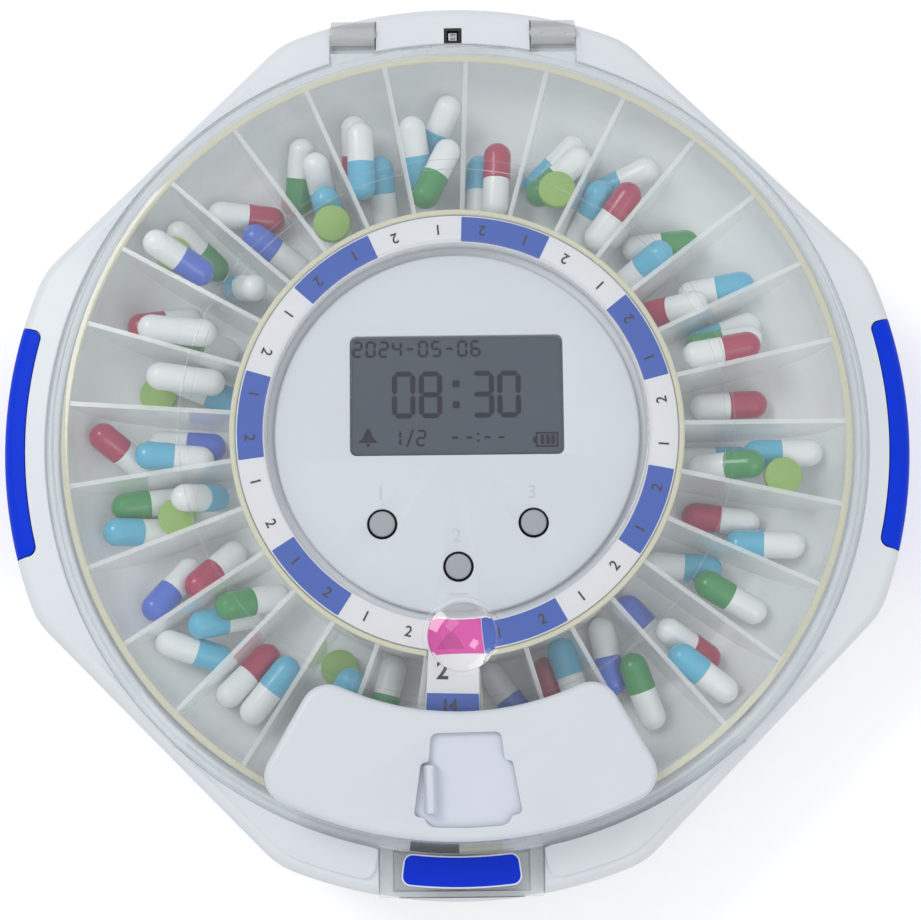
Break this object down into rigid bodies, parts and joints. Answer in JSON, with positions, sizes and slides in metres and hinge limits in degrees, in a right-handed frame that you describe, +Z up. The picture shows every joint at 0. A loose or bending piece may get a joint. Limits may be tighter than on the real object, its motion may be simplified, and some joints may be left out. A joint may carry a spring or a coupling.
{
  "type": "electronic pill box",
  "caption": "Round automatic pill dispenser: hinged clear lid with a sliding shutter, turning tray of sector pockets, hub with a display and buttons, press latch.",
  "frame": {"origin": "the tray axis, at the plane that the rubber feet stand on", "axes": "+Z up along the tray axis, +X to the right, -Y to the front, where the latch is"},
  "size_m": [0.2204, 0.2204, 0.057],
  "materials": {
    "white_shell": "fine satin",
    "hub_white": "fine satin",
    "blue_grip": "smooth soft-touch",
    "clear": "polished clear plastic",
    "frosted": "translucent plastic",
    "dose_white": "printed satin",
    "button_grey": "soft",
    "display": "polished",
    "board": "solder mask",
    "black": "matte",
    "steel": "plain",
    "brass": "plain",
    "gear_white": "moulded",
    "cell": "plain wrap",
    "foot_rubber": "matte"
  },
  "bodies": {
    "housing": {"base_shell": "white_shell", "deck_shell": "white_shell", "grip_right": "blue_grip", "grip_left": "blue_grip", "hub_cap": "hub_white", "display_window": "display", "display_module": "display", "main_board": "board", "buzzer": "black", "gear_pin": "steel", "drive_motor": "steel", "home_sensor": "black", "contact_plate_right": "steel", "contact_plate_left": "steel", "hinge_pin_right": "steel", "hinge_pin_left": "steel", "latch_spring": "steel", "socket_liner": "black", "power_socket": "steel", "button_switch_1": "black", "board_screw_1": "steel", "button_switch_2": "black", "board_screw_2": "steel", "button_switch_3": "black", "board_screw_3": "steel", "housing_screw_1": "steel", "rubber_foot_1": "foot_rubber", "cell_1": "cell", "contact_spring_1": "steel", "housing_screw_2": "steel", "rubber_foot_2": "foot_rubber", "cell_2": "cell", "contact_spring_2": "steel", "housing_screw_3": "steel", "rubber_foot_3": "foot_rubber", "cell_3": "cell", "contact_spring_3": "steel", "housing_screw_4": "steel", "rubber_foot_4": "foot_rubber", "cell_4": "cell", "contact_spring_4": "steel"},
    "tray": {"pill_tray": "frosted", "dose_ring": "dose_white"},
    "gear": {"drive_gear": "gear_white"},
    "motor_gear": {"motor_pinion": "brass"},
    "lid": {"lid_shell": "clear", "lens": "clear", "dispense_cover": "white_shell"},
    "shutter_body": {"shutter": "white_shell"},
    "latch": {"latch_button": "clear", "latch_plate": "blue_grip"},
    "key_1": {"button_1": "button_grey"},
    "key_2": {"button_2": "button_grey"},
    "key_3": {"button_3": "button_grey"},
    "door": {"battery_door": "white_shell"}
  },
  "joints": [
    {"name": "lid_hinge", "type": "hinge", "parent": "housing", "child": "lid", "pos_m": [0, 0.1017, 0.0382], "axis": [-1, 0, 0], "range_deg": [0, 100]},
    {"name": "shutter_slide", "type": "hinge", "parent": "lid", "child": "shutter_body", "pos_m": [0, 0, 0.0527], "axis": [0, 0, 1], "range_deg": [0, 10.5]},
    {"name": "tray_spin", "type": "hinge", "parent": "housing", "child": "tray", "pos_m": [0, 0, 0.0219], "axis": [0, 0, 1], "continuous": true},
    {"name": "gear_spin", "type": "hinge", "parent": "housing", "child": "gear", "pos_m": [0.0435, 0, 0.02], "axis": [0, 0, 1], "continuous": true},
    {"name": "motor_spin", "type": "hinge", "parent": "housing", "child": "motor_gear", "pos_m": [0.0275, 0, 0.015], "axis": [0, 0, 1], "continuous": true},
    {"name": "latch_press", "type": "slide", "parent": "housing", "child": "latch", "axis": [0, 0, -1], "range_m": [0, 0.0024], "stiffness_N_per_m": 300, "springref_m": -0.002, "deforming": ["latch_spring"]},
    {"name": "button_press_1", "type": "slide", "parent": "housing", "child": "key_1", "axis": [0, 0, -1], "range_m": [0, 0.0008], "stiffness_N_per_m": 500, "springref_m": -0.0005},
    {"name": "button_press_2", "type": "slide", "parent": "housing", "child": "key_2", "axis": [0, 0, -1], "range_m": [0, 0.0008], "stiffness_N_per_m": 500, "springref_m": -0.0005},
    {"name": "button_press_3", "type": "slide", "parent": "housing", "child": "key_3", "axis": [0, 0, -1], "range_m": [0, 0.0008], "stiffness_N_per_m": 500, "springref_m": -0.0005},
    {"name": "battery_door_slide", "type": "slide", "parent": "housing", "child": "door", "axis": [-1, 0, 0], "range_m": [0, 0.006]}
  ],
  "couplings": [
    {"joint": "gear_spin", "follows": "tray_spin", "ratio": 7.25},
    {"joint": "motor_spin", "follows": "tray_spin", "ratio": -21.75}
  ]
}
